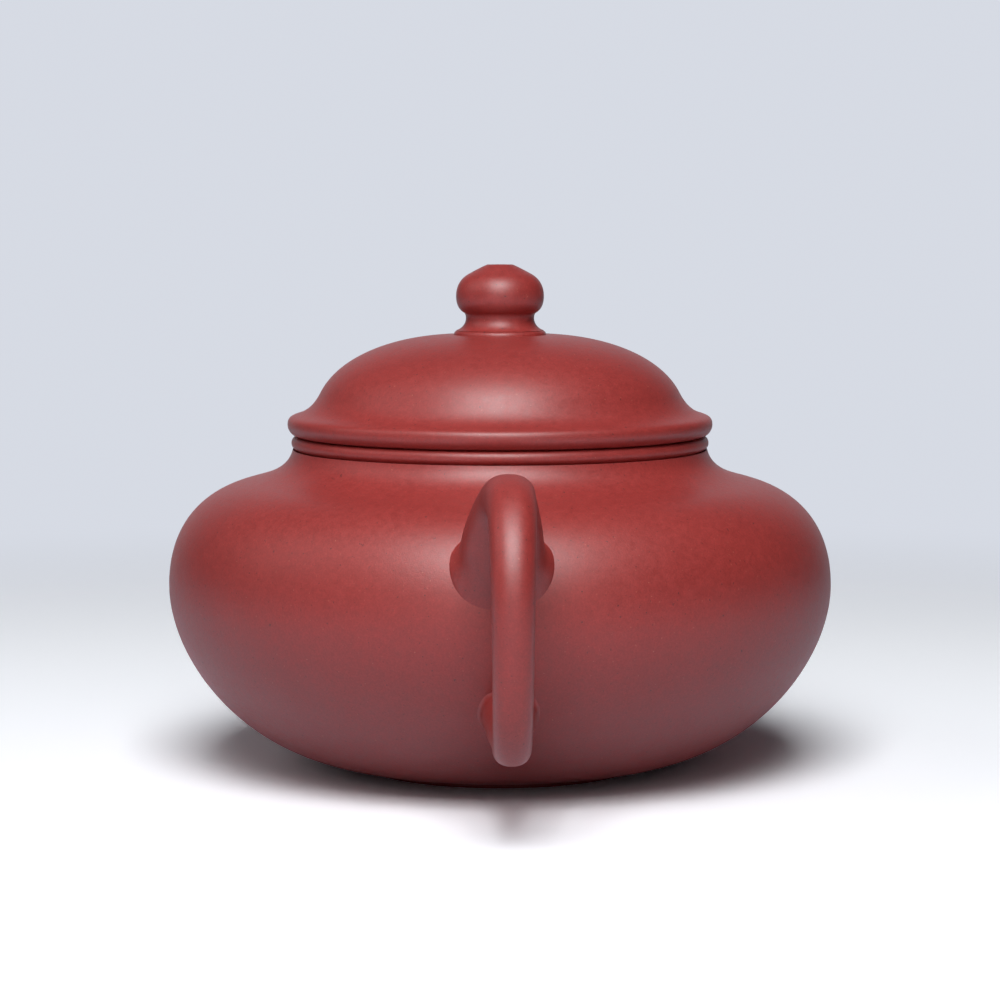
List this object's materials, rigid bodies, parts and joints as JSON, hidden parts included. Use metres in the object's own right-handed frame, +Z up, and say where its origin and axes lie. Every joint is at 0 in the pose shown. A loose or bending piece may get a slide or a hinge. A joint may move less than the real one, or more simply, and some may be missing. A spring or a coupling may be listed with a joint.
{
  "type": "yixing clay teapot",
  "caption": "Low round unglazed stoneware teapot with a domed cap lid and bead knob, an ear-shaped handle, a curved spout and a pierced strainer dome behind it",
  "frame": {"origin": "on the pot's axis, at the plane the foot ring stands on", "axes": "+Z up; the spout points along +X and the handle along -X; the XZ plane is the plane of symmetry"},
  "size_m": [0.1618, 0.105, 0.0797],
  "materials": {
    "red_clay": "unglazed red stoneware, burnished to a satin with a fine grain",
    "unburnished_clay": "the same clay left unburnished, matt"
  },
  "bodies": {
    "pot": {"foot_ring": "unburnished_clay", "base_disc": "unburnished_clay", "body_wall": "red_clay", "shoulder_disc": "red_clay", "neck_ring": "red_clay", "mouth_ring": "red_clay", "strainer": "unburnished_clay", "spout": "red_clay", "handle": "red_clay"},
    "lid": {"lid_dome": "red_clay", "lid_seat_plate": "red_clay", "lid_flange": "red_clay", "knob_seat": "red_clay", "knob": "red_clay"}
  },
  "joints": [
    {"name": "lid_lift", "type": "slide", "parent": "pot", "child": "lid", "axis": [0, 0, 1], "range_m": [0, 0.06]}
  ]
}
